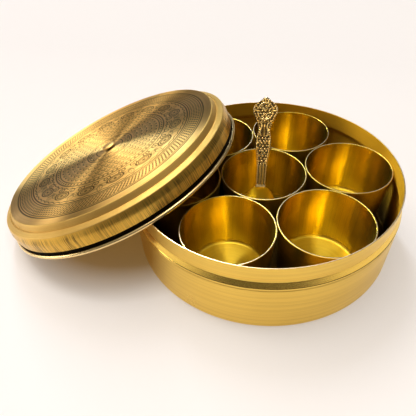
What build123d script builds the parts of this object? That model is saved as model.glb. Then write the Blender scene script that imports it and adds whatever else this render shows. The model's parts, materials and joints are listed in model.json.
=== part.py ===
"""Round brass spice box: a spun box, seven loose cups, a spoon and a lid that leans on the rim.

Lengths are millimetres and angles degrees. The shapes are built around the box's own axis,
standing on z = 0 with the lid leaning towards -X, and are moved to the row's origin at the end.
"""

import os
from math import asin, atan2, cos, degrees, hypot, pi, radians, sin

from build123d import *

# Box
collar_radius = 100.0  # outside of the collar, which is also the rim
box_height = 60.0
box_sheet = 0.9
collar_height = 13.0  # rim down to the top of the sloped band
band_height = 3.8  # sloped band that widens to the shoulder
shoulder_step = 2.2  # how far the shoulder stands outside the collar
score_depth = 0.25  # thin line turned just below the shoulder
score_drop = 1.9
foot_rounding = 4.0
foot_width = 5.0  # standing ring under the wall
floor_lift = 6.5  # the bottom is pressed up inside the standing ring
recess_slope = 1.4
lip_rounding = 0.3

# Cups
cup_rim_radius = 32.8
cup_base_radius = 29.7
cup_height = 46.0
cup_sheet = 0.9
cup_corner = 3.5
cup_lip = 1.2  # thickened edge of the cup
ring_cups = 6
cup_ring_angle = 18.0  # direction of the first outer cup from +X
cup_gap = 0.3  # between the rims of neighbouring cups

# Lid, measured up its own axis from the underside of its bead
lid_sheet = 0.6
collar_clearance = 0.3  # collar to the inside of the liner
bead_radius = 1.4
liner_depth = 15.9  # bead to the underside of the liner's pan
liner_corner = 5.0
shell_clearance = 0.1  # liner to the inside of the shell
bead_gap = 2.8  # dark gap between the bead and the shell's edge
skirt_bend = 12.6  # height at which the shell's skirt starts to lean in
skirt_top = 17.9
skirt_lean = 1.7  # how far the top of the skirt leans in
skirt_rounding = 9.0
shoulder_width = 5.6  # skirt in to the groove
shoulder_rounding = 1.1
groove_height = 19.0  # bottom of the groove round the drum
groove_depth = 0.4
drum_inset = 1.1  # drum foot inside the end of the shoulder
drum_height = 4.5
drum_rounding = 1.1
drum_taper = 2.0
boss_radius = 9.0  # pan is pressed up here to meet the shell
boss_slope = 5.0

# Rivet in the middle of the lid
rivet_shank_radius = 2.4
rivet_clearance = 0.05
rivet_neck_radius = 3.2
rivet_neck_height = 1.2
rivet_head_radius = 5.8
rivet_head_height = 2.0
rivet_tail_radius = 3.8
rivet_tail_height = 1.3
washer_radius = 5.5
washer_thickness = 0.8

# Lid at rest
rim_in_lid = 14.3  # how far the box's rim stands up into the leaning lid
rest_gap = 0.1  # bead to rim where the lid leans

# Spoon, measured from the tip of its bowl
bowl_length = 40.0
bowl_width = 30.0
bowl_depth = 7.0
bowl_sheet = 1.0
tang_length = 12.0
tang_width = 5.0
tang_clearance = 0.05
handle_length = 76.5
handle_thickness = 3.0
neck_width = 7.8
lower_lobe_width = 12.5
waist_width = 9.8
upper_lobe_width = 20.4
tip_width = 4.4  # knob at the end of the handle
handle_flutes = 3
flute_depth = 0.6
flute_length = 15.0
spoon_side = 1.7  # the spoon lies this far left of the cup's middle
spoon_heading = 96.6  # direction in which the handle leans, from +X
spoon_rim_gap = 0.3
spoon_floor_gap = 0.3
spoon_wall_gap = 2.0  # tip of the bowl to the cup's wall

# Sizes that follow
body_radius = collar_radius + shoulder_step
floor_top = floor_lift + box_sheet
cup_pitch = 2 * cup_rim_radius + cup_gap
cup_top = floor_top + cup_height
liner_radius = collar_radius + collar_clearance
bead_ring_radius = liner_radius + lid_sheet + bead_radius - 0.6 * lid_sheet
shell_inner = liner_radius + lid_sheet + shell_clearance
shell_outer = shell_inner + lid_sheet
shell_edge = 2 * bead_radius + bead_gap
pan_top = liner_depth + lid_sheet
lid_top = groove_height + drum_height
drum_foot_radius = shell_outer - shoulder_width - drum_inset
head_top = lid_top + rivet_neck_height + rivet_head_height


def turned(outline):
    """Turn a closed outline of (radius, height, corner rounding) points about Z."""
    points = [(radius, height) for radius, height, _ in outline]
    rounding = [corner for _, _, corner in outline]
    path = FilletPolyline(*points, radius=rounding, close=True)
    return revolve(Plane.XZ * make_face(path), Axis.Z)


def make_box():
    """Spun box: collar, sloped band, shoulder, wall, standing ring and pressed-up floor."""
    band_top = box_height - collar_height
    shoulder = band_top - band_height
    score = shoulder - score_drop
    foot_inner = body_radius - foot_width
    wall_inside = body_radius - box_sheet
    collar_inside = collar_radius - box_sheet
    outside = [
        (0, floor_lift, 0),
        (foot_inner - recess_slope, floor_lift, 0.5),
        (foot_inner, 0, 0.3),
        (body_radius, 0, foot_rounding * 0.8),
        (body_radius, score - score_depth, 0),
        (body_radius - score_depth, score, 0),
        (body_radius, score + score_depth, 0),
        (body_radius, shoulder, 0.15),
        (body_radius - 0.4, shoulder + 0.3, 0),
        (collar_radius, band_top, 0),
        (collar_radius, box_height, lip_rounding),
    ]
    inside = [
        (collar_inside, box_height, lip_rounding),
        (collar_inside, band_top, 0),
        (wall_inside, shoulder - 0.3, 0),
        (wall_inside, box_sheet, foot_rounding * 0.25),
        (foot_inner + box_sheet * 0.9, box_sheet, 0.3),
        (foot_inner - recess_slope + box_sheet * 0.9, floor_top, 0.5),
        (0, floor_top, 0),
    ]
    return turned(outside + inside)


def make_cup():
    """One tapered cup standing on z = 0, with a thickened edge."""
    inside_rim = cup_rim_radius - cup_lip
    slope = (cup_rim_radius - cup_base_radius) / cup_height
    under_lip = cup_height - cup_lip
    lip_root = cup_base_radius + slope * under_lip - (cup_lip - cup_sheet)
    base = cup_base_radius - (cup_lip - cup_sheet)
    return turned(
        [
            (0, 0, 0),
            (base, 0, cup_corner),
            (lip_root, under_lip, 0.1),
            (cup_rim_radius, under_lip + 0.3, 0.2),
            (cup_rim_radius, cup_height, 0.4),
            (inside_rim, cup_height, 0.4),
            (base - cup_sheet, cup_sheet, cup_corner - cup_sheet),
            (0, cup_sheet, 0),
        ]
    )


def cup_places():
    """Names and middles of the cups: one in the centre and a ring of six round it."""
    names = ["right", "back_right", "back_left", "left", "front_left", "front_right"]
    places = [("cup_centre", 0.0, 0.0)]
    for index, name in enumerate(names[:ring_cups]):
        angle = radians(cup_ring_angle + index * 360 / ring_cups)
        places.append(("cup_" + name, cup_pitch * cos(angle), cup_pitch * sin(angle)))
    return places


def make_lid_liner():
    """Inner pan of the lid: it slides over the collar, ends in a wired bead and has a boss."""
    outer = liner_radius + lid_sheet
    boss_under = lid_top - 2 * lid_sheet
    hole = rivet_shank_radius + rivet_clearance
    pan = turned(
        [
            (hole, boss_under + lid_sheet, 0),
            (boss_radius, boss_under + lid_sheet, 1.5),
            (boss_radius + boss_slope, pan_top, 1.5),
            (outer, pan_top, liner_corner),
            (outer, bead_radius, 0),
            (liner_radius, bead_radius, 0),
            (liner_radius, liner_depth, liner_corner - lid_sheet),
            (boss_radius + boss_slope - lid_sheet, liner_depth, 1.5),
            (boss_radius - lid_sheet, boss_under, 1.5),
            (hole, boss_under, 0),
        ]
    )
    ring = Pos(0, 0, bead_radius) * Torus(bead_ring_radius, bead_radius)
    bore = Pos(0, 0, bead_radius) * Cylinder(liner_radius, 4 * bead_radius)
    return pan + (ring - bore)


def make_lid_shell():
    """Outer cap of the lid: skirt, sloped shoulder, groove and raised flat drum."""
    hole = rivet_shank_radius + rivet_clearance
    shoulder_end = drum_foot_radius + drum_inset
    shoulder_high = groove_height + groove_depth
    inner_rounding = shoulder_rounding - lid_sheet
    inner_foot = drum_foot_radius - lid_sheet
    top_radius = drum_foot_radius - drum_taper
    groove_width = drum_inset * 0.7
    return turned(
        [
            (hole, lid_top, 0),
            (top_radius, lid_top, drum_rounding),
            (drum_foot_radius, groove_height, 0.2),
            (drum_foot_radius + groove_width, groove_height, 0.2),
            (shoulder_end, shoulder_high, 0.3),
            (shell_outer - skirt_lean, skirt_top, shoulder_rounding),
            (shell_outer, skirt_bend, skirt_rounding),
            (shell_outer, shell_edge, 0.2),
            (shell_inner, shell_edge, 0),
            (shell_inner, skirt_bend, skirt_rounding - lid_sheet),
            (shell_inner - skirt_lean, skirt_top - lid_sheet, inner_rounding),
            (shoulder_end, shoulder_high - lid_sheet, 0.2),
            (drum_foot_radius + groove_width, groove_height - lid_sheet, 0.2),
            (inner_foot, groove_height - lid_sheet, 0.2),
            (top_radius - lid_sheet * 0.9, lid_top - lid_sheet, 0.5),
            (hole, lid_top - lid_sheet, 0),
        ]
    )


def make_rivet():
    """Button-headed rivet through shell, liner and washer."""
    under = lid_top - 2 * lid_sheet - washer_thickness
    neck_top = lid_top + rivet_neck_height
    return turned(
        [
            (0, head_top, 0),
            (rivet_head_radius * 0.55, head_top, 1.5),
            (rivet_head_radius, neck_top + rivet_head_height * 0.45, 0.5),
            (rivet_head_radius, neck_top, 0.25),
            (rivet_neck_radius, neck_top, 0),
            (rivet_neck_radius, lid_top, 0),
            (rivet_shank_radius, lid_top, 0),
            (rivet_shank_radius, under, 0),
            (rivet_tail_radius, under, 0.2),
            (rivet_tail_radius * 0.7, under - rivet_tail_height, 0.4),
            (0, under - rivet_tail_height, 0),
        ]
    )


def make_washer():
    """Washer between the liner's boss and the rivet's tail."""
    top = lid_top - 2 * lid_sheet
    inner = rivet_shank_radius + rivet_clearance
    bottom = top - washer_thickness
    return turned(
        [(inner, top, 0), (washer_radius, top, 0.1), (washer_radius, bottom, 0.1), (inner, bottom, 0)]
    )


def lid_centre(lean):
    """Middle of the lid's bead plane, as (x, z), when its low edge stands on the floor."""
    height = (bead_ring_radius * sin(lean)) + bead_radius * (1 - cos(lean))
    reach = (rim_in_lid - (box_height - height) * cos(lean)) / sin(lean)
    return reach - collar_radius, height


def rim_clearance(lean):
    """Least gap between the leaning lid's bead and the box's rim, seen round the rim."""
    x, z = lid_centre(lean)
    steps = 900
    gaps = []
    for step in range(steps):
        turn = pi / 2 + step * pi / (2 * steps)
        dx = collar_radius * cos(turn) - x
        dz = box_height - z
        along = dx * cos(lean) + dz * sin(lean)
        above = -dx * sin(lean) + dz * cos(lean) - bead_radius
        out = hypot(along, collar_radius * sin(turn)) - bead_ring_radius
        gaps.append((hypot(out, above), above))
    spread, above = min(gaps)
    return (spread if above < 0 else -spread) - bead_radius


def lid_lean():
    """Angle at which the bead just clears the rim by the rest gap."""
    low, high = radians(10), radians(40)
    for _ in range(50):
        middle = (low + high) / 2
        if rim_clearance(middle) < rest_gap:
            low = middle
        else:
            high = middle
    return high


def make_spoon_bowl():
    """Boat-shaped bowl of thin sheet with a tang for the handle, tip at the origin."""
    half = bowl_width / 2
    lift = (half**2 - bowl_depth**2) / (2 * bowl_depth)
    solids = []
    for inset in (0, bowl_sheet):
        arc = ThreePointArc(
            (inset, -lift), (bowl_length / 2, -lift - bowl_depth + inset), (bowl_length - inset, -lift)
        )
        axis = Line((bowl_length - inset, -lift), (bowl_length - inset, 0))
        back = Line((bowl_length - inset, 0), (inset, 0))
        front = Line((inset, 0), (inset, -lift))
        face = Plane.XZ * make_face(arc + axis + back + front)
        solids.append(Pos(0, 0, lift) * revolve(face, Axis.X))
    shell = solids[0] - solids[1]
    above = Pos(bowl_length / 2, 0, lift + bowl_depth) * Box(
        2 * bowl_length, 2 * bowl_width + 4 * lift, 2 * (lift + bowl_depth)
    )
    tang_start = bowl_length - 3.5
    tang = Pos((tang_start + bowl_length + tang_length) / 2, 0, -bowl_sheet / 2) * Box(
        bowl_length + tang_length - tang_start, tang_width, bowl_sheet
    )
    return (shell - above) + tang


def make_spoon_handle():
    """Flat cast handle with two lobes, a fluted neck and a slot for the bowl's tang."""
    start = bowl_length + 0.5
    end = start + handle_length
    side = [
        (start, neck_width / 2),
        (start + 0.22 * handle_length, neck_width / 2 + 0.2),
        (start + 0.36 * handle_length, lower_lobe_width * 0.42),
        (start + 0.51 * handle_length, lower_lobe_width / 2),
        (start + 0.635 * handle_length, waist_width / 2),
        (start + 0.70 * handle_length, waist_width / 2 + 1.1),
        (start + 0.85 * handle_length, upper_lobe_width / 2),
        (start + 0.945 * handle_length, upper_lobe_width * 0.3),
        (start + 0.972 * handle_length, tip_width / 2 + 1.2),
        (end, tip_width / 2),
    ]
    edge = Spline(*side)
    mirrored = Spline(*[(x, -y) for x, y in side])
    butt = Line((start, -neck_width / 2), (start, neck_width / 2))
    tip = RadiusArc((end, tip_width / 2), (end, -tip_width / 2), tip_width / 2)
    plate = extrude(make_face(edge + tip + mirrored + butt), handle_thickness)
    plate = Pos(0, 0, -handle_thickness / 2) * plate
    width = tang_width + 2 * tang_clearance
    depth = bowl_sheet + 2 * tang_clearance
    reach = tang_length + tang_clearance
    slot = Pos(start + reach / 2 - 0.5, 0, -bowl_sheet / 2) * Box(reach, width, depth)
    plate = plate - slot
    spacing = neck_width / (handle_flutes + 1)
    for index in range(handle_flutes):
        across = (index - (handle_flutes - 1) / 2) * spacing
        groove = Pos(start + 1.5 + flute_length / 2, across, handle_thickness / 2) * Box(
            flute_length, spacing * 0.45, 2 * flute_depth
        )
        plate = plate - groove
    return plate


def spoon_place():
    """Where the spoon lies: bowl tip near the cup's front wall, handle on the far rim."""
    tip_y = -(cup_base_radius - cup_sheet - spoon_wall_gap)
    tip_z = floor_top + cup_sheet + spoon_floor_gap
    inner_rim = cup_rim_radius - cup_lip
    run = (inner_rim**2 - (spoon_side + lower_lobe_width / 2) ** 2) ** 0.5 - tip_y
    rise = cup_top - tip_z
    offset = handle_thickness / 2 + spoon_rim_gap
    lean = degrees(atan2(rise, run) + asin(offset / hypot(run, rise)))
    turn = spoon_heading - 90
    return Rot(0, 0, turn) * Pos(-spoon_side, tip_y, tip_z) * Rot(0, 0, 90) * Rot(0, -lean, 0)


def main():
    lean = lid_lean()
    lid_x, lid_z = lid_centre(lean)
    lid_place = Pos(lid_x, 0, lid_z) * Rot(0, -degrees(lean), 0)
    low_edge = lid_x - bead_ring_radius * cos(lean) - bead_radius * sin(lean) - bead_radius
    row = Pos(-(low_edge + body_radius) / 2, 0, 0)

    parts = {
        "box_body": make_box(),
        "lid_shell": lid_place * make_lid_shell(),
        "lid_liner": lid_place * make_lid_liner(),
        "lid_rivet": lid_place * make_rivet(),
        "lid_washer": lid_place * make_washer(),
        "spoon_bowl": spoon_place() * make_spoon_bowl(),
        "spoon_handle": spoon_place() * make_spoon_handle(),
    }
    for name, x, y in cup_places():
        parts[name] = Pos(x, y, floor_top) * make_cup()

    os.makedirs("parts", exist_ok=True)
    for name, shape in parts.items():
        export_step(row * shape, "parts/" + name + ".step")
    print("lid lean", round(degrees(lean), 3), "lid middle", round(lid_x, 3), round(lid_z, 3))
    print("row shift", round(row.position.X, 3))


main()
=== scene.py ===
"""Looks of a round brass spice box: the box, its seven cups, its spoon and its engraved lid.

Lengths are metres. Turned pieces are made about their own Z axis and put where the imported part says.
"""

import json
from math import acos, asin, atan2, ceil, cos, hypot, pi, radians, sin, sqrt, tan

import bpy
import numpy as np
from bpy.props import FloatProperty, FloatVectorProperty, IntProperty, PointerProperty
from bpy.types import NodeSocket, Operator, Panel, PropertyGroup
from mathutils import Matrix, Vector


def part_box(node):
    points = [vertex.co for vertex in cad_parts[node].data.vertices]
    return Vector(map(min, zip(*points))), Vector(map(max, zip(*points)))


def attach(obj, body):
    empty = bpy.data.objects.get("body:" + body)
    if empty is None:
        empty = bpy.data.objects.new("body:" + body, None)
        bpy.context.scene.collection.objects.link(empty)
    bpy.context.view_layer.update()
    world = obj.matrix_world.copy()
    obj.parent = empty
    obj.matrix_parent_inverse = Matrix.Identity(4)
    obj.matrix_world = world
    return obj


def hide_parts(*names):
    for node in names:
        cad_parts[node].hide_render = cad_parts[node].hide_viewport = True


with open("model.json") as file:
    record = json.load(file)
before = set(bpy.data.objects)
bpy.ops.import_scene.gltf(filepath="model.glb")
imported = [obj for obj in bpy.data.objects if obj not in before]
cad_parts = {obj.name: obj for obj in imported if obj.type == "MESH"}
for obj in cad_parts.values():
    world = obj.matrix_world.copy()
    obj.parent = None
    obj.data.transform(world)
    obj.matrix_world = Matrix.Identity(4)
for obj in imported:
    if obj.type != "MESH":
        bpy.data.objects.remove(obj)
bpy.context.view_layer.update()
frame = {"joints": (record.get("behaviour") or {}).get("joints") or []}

bl_info = {
    "name": "Brass Spice Box",
    "version": (1, 0, 0),
    "blender": (4, 5, 0),
    "location": "3D View > Sidebar > Spice Box",
    "description": "Turned brass box with cups, a cast spoon and an engraved lid",
    "category": "Object",
}

MM = 0.001
TINY = 1e-7
CUPS = ("centre", "right", "back_right", "back_left", "left", "front_left", "front_right")


def number(label, words, value, **kind):
    """A number property, with its unit or subtype."""
    return FloatProperty(name=label, description=words, default=value, **kind)


def length(label, words, size):
    """A length property in metres."""
    return number(label, words, size, unit="LENGTH", precision=5)


def colour(label, words, value):
    """A colour property, linear red, green and blue."""
    return FloatVectorProperty(
        name=label, description=words, default=value, subtype="COLOR", size=3, min=0.0, max=1.0
    )


class SpiceBoxBody(PropertyGroup):
    """Sizes of the box."""

    collar_radius: length("Collar radius", "Outside of the collar, which is the rim", 0.1)
    height: length("Height", "Floor to rim", 0.06)
    sheet: length("Sheet", "Thickness of the brass", 0.0009)
    collar_height: length("Collar height", "Rim down to the sloped band", 0.013)
    band_height: length("Band height", "Height of the sloped band", 0.0038)
    shoulder_step: length("Shoulder step", "How far the shoulder stands out", 0.0022)
    foot_width: length("Foot width", "Standing ring under the wall", 0.005)
    floor_lift: length("Floor lift", "Underside of the pressed-up bottom", 0.0065)


class SpiceBoxCup(PropertyGroup):
    """Sizes of one cup."""

    rim_radius: length("Rim radius", "Outside of the cup's edge", 0.0328)
    base_radius: length("Base radius", "Outside of the cup's foot", 0.0297)
    height: length("Height", "Foot to edge", 0.046)
    sheet: length("Sheet", "Thickness of the brass", 0.0009)
    corner: length("Corner", "Rounding at the foot", 0.0035)
    lip: length("Lip", "Thickness of the edge", 0.0012)


class SpiceBoxLid(PropertyGroup):
    """Sizes of the lid, up its own axis from the underside of its bead."""

    liner_radius: length("Liner radius", "Inside of the liner's wall", 0.1003)
    sheet: length("Sheet", "Thickness of the brass", 0.0006)
    bead_radius: length("Bead radius", "Half the thickness of the wired bead", 0.0014)
    liner_depth: length("Liner depth", "Bead to the underside of the pan", 0.0159)
    shell_inner: length("Shell inner radius", "Inside of the shell's skirt", 0.1010)
    shell_edge: length("Shell edge", "Height of the skirt's lower edge", 0.0056)
    skirt_bend: length("Skirt bend", "Where the skirt starts to lean in", 0.0126)
    skirt_top: length("Skirt top", "Height of the skirt's upper edge", 0.0179)
    skirt_lean: length("Skirt lean", "How far the skirt's top leans in", 0.0017)
    shoulder_width: length("Shoulder width", "Skirt in to the groove", 0.0056)
    groove: length("Groove height", "Bottom of the groove round the drum", 0.019)
    drum_height: length("Drum height", "Groove to the engraved top", 0.0045)
    rivet_head: length("Rivet head", "Radius of the rivet's head", 0.0058)
    engraving: length("Engraving depth", "Depth of the cut lines", 0.00006)


class SpiceBoxSpoon(PropertyGroup):
    """Sizes of the spoon, from the tip of its bowl."""

    bowl_length: length("Bowl length", "Tip to the start of the neck", 0.04)
    bowl_width: length("Bowl width", "Widest part of the bowl", 0.03)
    bowl_depth: length("Bowl depth", "Edge to the deepest point", 0.007)
    bowl_sheet: length("Bowl sheet", "Thickness of the bowl", 0.001)
    handle_length: length("Handle length", "Neck to the tip", 0.0765)
    thickness: length("Thickness", "Underside to the top of the plain plate", 0.003)
    relief: length("Relief", "Height of the beads and scrolls", 0.0019)
    side: length("Side", "How far left of the cup's middle it lies", 0.0017)
    wall_gap: length("Wall gap", "Tip of the bowl to the cup's wall", 0.002)
    heading: number("Heading", "Way the handle leans", radians(96.6), subtype="ANGLE")


class SpiceBoxFinish(PropertyGroup):
    """Colours of the brass and the floor."""

    box_brass: colour("Box brass", "Satin brass of the box", (0.925, 0.655, 0.16))
    box_inside: colour("Box inside", "Deep gold inside the box", (1.0, 0.63, 0.05))
    cup_brass: colour("Cup brass", "Yellower brass of the cups", (0.95, 0.705, 0.09))
    cup_inside: colour("Cup inside", "Gold of the cups' walls inside", (0.885, 0.70, 0.088))
    cup_floor: colour("Cup floor", "Gold of the cups' floors", (0.84, 0.62, 0.08))
    lid_brass: colour("Lid brass", "Duller brass of the lid's top", (0.93, 0.64, 0.245))
    lid_shoulder: colour("Lid shoulder", "Brass of the step round the top", (0.80, 0.56, 0.19))
    spoon_brass: colour("Spoon brass", "Smooth brass of the spoon's bowl", (1.0, 0.80, 0.22))
    handle_brass: colour("Handle brass", "Cast brass of the handle", (1.0, 0.82, 0.44))
    edge_brass: colour("Edge brass", "Pale brass of rubbed edges", (0.98, 0.83, 0.62))
    # real brown in cut lines and recesses, and also the dark colour of painted shade in gaps and low
    # down
    patina_and_shade: colour("Patina", "Brown left in cut lines and recesses", (0.145, 0.088, 0.03))
    floor: colour("Floor", "Pale studio floor", (0.53, 0.505, 0.50))


class SpiceBoxStage(PropertyGroup):
    """Camera, lights and fineness."""

    lens: number("Lens", "Focal length", 33.66, unit="CAMERA")
    strip: number("Strip light", "Narrow light at the back", 1650.0, unit="POWER")
    soft: number("Soft light", "Wide light at the left", 1250.0, unit="POWER")
    above: number("Overhead light", "Wide light above", 1150.0, unit="POWER")
    side: number("Side light", "Low light at the left", 900.0, unit="POWER")
    room: number("Room", "Brightness of the room", 0.75)
    glow: number("Floor glow", "Light that comes through the floor", 0.455)
    segments: IntProperty(name="Segments", description="Steps round a turned piece", default=192, min=24)


# Turned shapes

STRAIGHT = 1e-4  # a turn smaller than this needs no rounding
UV_RISE = 10  # texture units for each metre along the outline


def rounded(outline, arc_steps=5):
    """Edges of a closed outline: both ends, the outward normal at each, and the finish.

    An outline is a list of (radius, height, rounding, finish, cuts) points. Finish and cuts belong to
    the edge that starts there, and are 0 and 1 where they are left out.
    """
    outline = [(*spec, *(0, 1)[len(spec) - 3 :]) for spec in outline]
    points = [Vector(spec[:2]) for spec in outline]
    count = len(points)
    area = sum(a.x * b.y - b.x * a.y for a, b in zip(points, points[1:] + points[:1]))
    side = 1 if area > 0 else -1
    corners = []
    for index, spec in enumerate(outline):
        rounding = spec[2]
        into = (points[index] - points[index - 1]).normalized()
        out = (points[(index + 1) % count] - points[index]).normalized()
        turn = atan2(into.x * out.y - into.y * out.x, into.dot(out))
        normal = Vector((into.y, -into.x)) * side
        if rounding == 0 or abs(turn) < STRAIGHT:
            corners.append([(points[index], normal, Vector((out.y, -out.x)) * side)])
            continue
        start = points[index] - into * rounding * tan(abs(turn) / 2)
        bulge = 1 if turn * side > 0 else -1
        centre = start - normal * rounding * bulge
        steps = max(2, ceil(abs(turn) / (pi / 2) * arc_steps))
        arc = []
        for step in range(steps + 1):
            way = Matrix.Rotation(turn * step / steps, 2) @ normal
            arc.append((centre + way * rounding * bulge, way, way))
        corners.append(arc)
    edges = []
    for index, (*_, finish, cuts) in enumerate(outline):
        arc = corners[index]
        arc_finish = max(finish, outline[index - 1][3])
        for (a, _, leave), (b, arrive, _) in zip(arc, arc[1:]):
            edges.append((a, leave, b, arrive, arc_finish))
        a, _, leave = arc[-1]
        b, arrive, _ = corners[(index + 1) % count][0]
        if a.x < TINY and b.x < TINY:
            continue
        for cut in range(cuts):
            first, last = a.lerp(b, cut / cuts), a.lerp(b, (cut + 1) / cuts)
            edges.append((first, leave, last, arrive, finish))
    return edges


def turned(name, outline, segments, finishes, relief=None):
    """An object turned about Z from an outline, with a material for each finish.

    Relief sinks the engraved points, and gives how deep each is cut and the corners' new normals.
    """
    around = np.arange(segments)
    after = (around + 1) % segments
    angle = around * 2 * pi / segments
    co, rings = [], {}

    def ring(point):
        """First vertex of the ring through an outline point, and how many the ring has."""
        key = (round(point.x, 8), round(point.y, 8))
        if key not in rings:
            start = sum(len(block) for block in co)
            block = np.array([[0.0, 0.0, point.y]])
            if point.x >= TINY:
                x, y = point.x * np.cos(angle), point.x * np.sin(angle)
                block = np.stack([x, y, np.full(segments, point.y)], 1)
            co.append(block)
            rings[key] = (start, len(block))
        return rings[key]

    loops, sizes, finish_rows, normal_rows, uv_rows = [], [], [], [], []
    travelled = 0.0
    for a, leave, b, arrive, finish in rounded(outline):
        step = (b - a).length
        corners = []
        for point, way, height, shares in (
            (a, leave, travelled, (0, 1)),
            (b, arrive, travelled + step, (1, 0)),
        ):
            start, count = ring(point)
            if count == 1:
                corners.append((np.full(segments, start), 0.5, way, height))
                continue
            for share in shares:
                corners.append((start + (around, after)[share], share, way, height))
        travelled += step
        if (b.x - a.x) * leave.y - (b.y - a.y) * leave.x >= 0:
            corners.reverse()
        rows, shares, ways, heights = zip(*corners)
        loops.append(np.stack(rows, 1).reshape(-1))
        turn = np.stack([(around + share) * 2 * pi / segments for share in shares], 1)
        out = np.array([way.x for way in ways])
        up = np.array([way.y for way in ways]) + 0 * turn
        corner_normals = np.stack([out * np.cos(turn), out * np.sin(turn), up], 2)
        normal_rows.append(corner_normals.reshape(-1, 3))
        rise = np.array(heights) * UV_RISE + 0 * turn
        uv_rows.append(np.stack([turn / (2 * pi), rise], 2).reshape(-1, 2))
        sizes += [len(corners)] * segments
        finish_rows += [finish] * segments
    co = np.concatenate(co)
    loops = np.concatenate(loops)
    normals = np.concatenate(normal_rows)
    uvs = np.concatenate(uv_rows).astype(np.float32)
    sizes = np.array(sizes, np.int32)
    starts = np.concatenate([[0], np.cumsum(sizes)[:-1]]).astype(np.int32)
    if relief:
        cut, normals = relief(co, loops, normals)
    me = bpy.data.meshes.new(name)
    me.vertices.add(len(co))
    me.vertices.foreach_set("co", co.astype(np.float32).reshape(-1))
    me.loops.add(len(loops))
    me.loops.foreach_set("vertex_index", loops.astype(np.int32))
    me.polygons.add(len(sizes))
    me.polygons.foreach_set("loop_start", starts)
    me.polygons.foreach_set("material_index", np.array(finish_rows, np.int32))
    me.update(calc_edges=True)
    me.uv_layers.new(name="turned")
    me.uv_layers["turned"].data.foreach_set("uv", uvs.reshape(-1))
    if relief:
        mark = me.attributes.new("cut", "FLOAT", "POINT")
        mark.data.foreach_set("value", cut.astype(np.float32))
    me.polygons.foreach_set("use_smooth", np.ones(len(sizes), bool))
    for finish in finishes:
        me.materials.append(finish)
    me.validate()
    me.normals_split_custom_set(normals.astype(np.float32))
    return bpy.data.objects.new(name, me)


def put(piece, body, node, place):
    """Link a piece, place it, let it ride on its body and stand for its node."""
    bpy.context.scene.collection.objects.link(piece)
    piece.matrix_world = place
    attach(piece, body)
    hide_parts(node)


def on_axis(node, height=None):
    """A place on the upright axis through a node's middle, at its underside or at a height."""
    low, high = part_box(node)
    z = low.z if height is None else height
    return Matrix.Translation(((low.x + high.x) / 2, (low.y + high.y) / 2, z))


# Materials. Three numbers of a noise: how fine it is outwards, along the axis and round it.

FINE_RINGS = (2200.0, 2200.0, 0.35)
WIDE_RINGS = (420.0, 420.0, 0.5)
STREAKS = (20.0, 9.0, 90.0)
HATCH_MARKS = (60.0, 40.0, 190.0)
HATCH_PATCHES = (20.0, 40.0, 9.0)
HATCH_TOP = (0.0145, 0.0175)  # heights between which the hatch marks fade
CLOUD_SCALE = 26.0
GRAIN_SCALE = 900.0
DULLED = (0.66, 0.58, 0.42)  # what tarnish leaves
RADIAL = 0.25  # quarter turn that draws highlights out from the axis
BUMP_DEPTH = 0.0002


def feed(node, inputs):
    """Set a node's inputs to values, or link them to sockets."""
    for key, value in inputs.items():
        socket = node.inputs[key]
        if isinstance(value, NodeSocket):
            node.id_data.links.new(value, socket)
        elif socket.type == "RGBA":
            socket.default_value = (*value[:3], 1.0)
        else:
            socket.default_value = value


def add(tree, kind, inputs=None, **settings):
    """A new shader node with its settings and its inputs."""
    made = tree.nodes.new("ShaderNode" + kind)
    for key, value in settings.items():
        setattr(made, key, value)
    feed(made, inputs or {})
    return made


def maths(tree, operation, first, second=0.0):
    """The result of an operation on two values or sockets."""
    return add(tree, "Math", {0: first, 1: second}, operation=operation).outputs[0]


def times(tree, first, second):
    """The product of two values or sockets."""
    return maths(tree, "MULTIPLY", first, second)


def weighted(tree, first, first_weight, second, second_weight):
    """The sum of two sockets, each times its weight."""
    return maths(tree, "ADD", times(tree, first, first_weight), times(tree, second, second_weight))


def ramp(tree, value, low, high, to_low=0.0, to_high=1.0):
    """Value stretched from low to high on to a new range, held inside it."""
    spans = {"From Min": low, "From Max": high, "To Min": to_low, "To Max": to_high}
    return add(tree, "MapRange", {"Value": value, **spans}).outputs["Result"]


def mixed(tree, share, first, second):
    """A colour between two, by a share."""
    return add(tree, "Mix", {0: share, 6: first, 7: second}, data_type="RGBA").outputs[2]


def own_place(tree):
    """Where a point is in its piece's own frame."""
    return add(tree, "TexCoord").outputs["Object"]


def own_parts(tree):
    """The X, Y and Z of that place."""
    return add(tree, "SeparateXYZ", {0: own_place(tree)}).outputs


def stretched_noise(tree, radial, along, around, detail=3.0):
    """Noise in turned coordinates."""
    x, y, z = own_parts(tree)
    squares = maths(tree, "ADD", maths(tree, "POWER", x, 2.0), maths(tree, "POWER", y, 2.0))
    radius = maths(tree, "MAXIMUM", maths(tree, "SQRT", squares), 1e-5)
    turn = [times(tree, maths(tree, "DIVIDE", part, radius), around) for part in (x, y)]
    vector = add(tree, "CombineXYZ", {0: times(tree, radius, radial), 1: turn[0], 2: turn[1]})
    noise = {"Vector": vector.outputs[0], "W": times(tree, z, along), "Scale": 1.0, "Detail": detail}
    return add(tree, "TexNoise", noise, noise_dimensions="4D").outputs["Fac"]


def even_noise(tree, scale, detail):
    """Noise of the same fineness every way."""
    noise = {"Vector": own_place(tree), "Scale": scale, "Detail": detail}
    return add(tree, "TexNoise", noise).outputs["Fac"]


def scaled(tone, shares):
    """A colour, each channel times its own share."""
    return [channel * share for channel, share in zip(tone, shares)]


def material(name):
    """A new material, its node tree and its shader."""
    made = bpy.data.materials.new(name)
    made.use_nodes = True
    return made, made.node_tree, made.node_tree.nodes["Principled BSDF"]


def rippled(tree, height, strength):
    """The normal of a surface that a height ripples."""
    bump = {"Strength": strength, "Distance": BUMP_DEPTH, "Height": height}
    return add(tree, "Bump", bump).outputs["Normal"]


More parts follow.
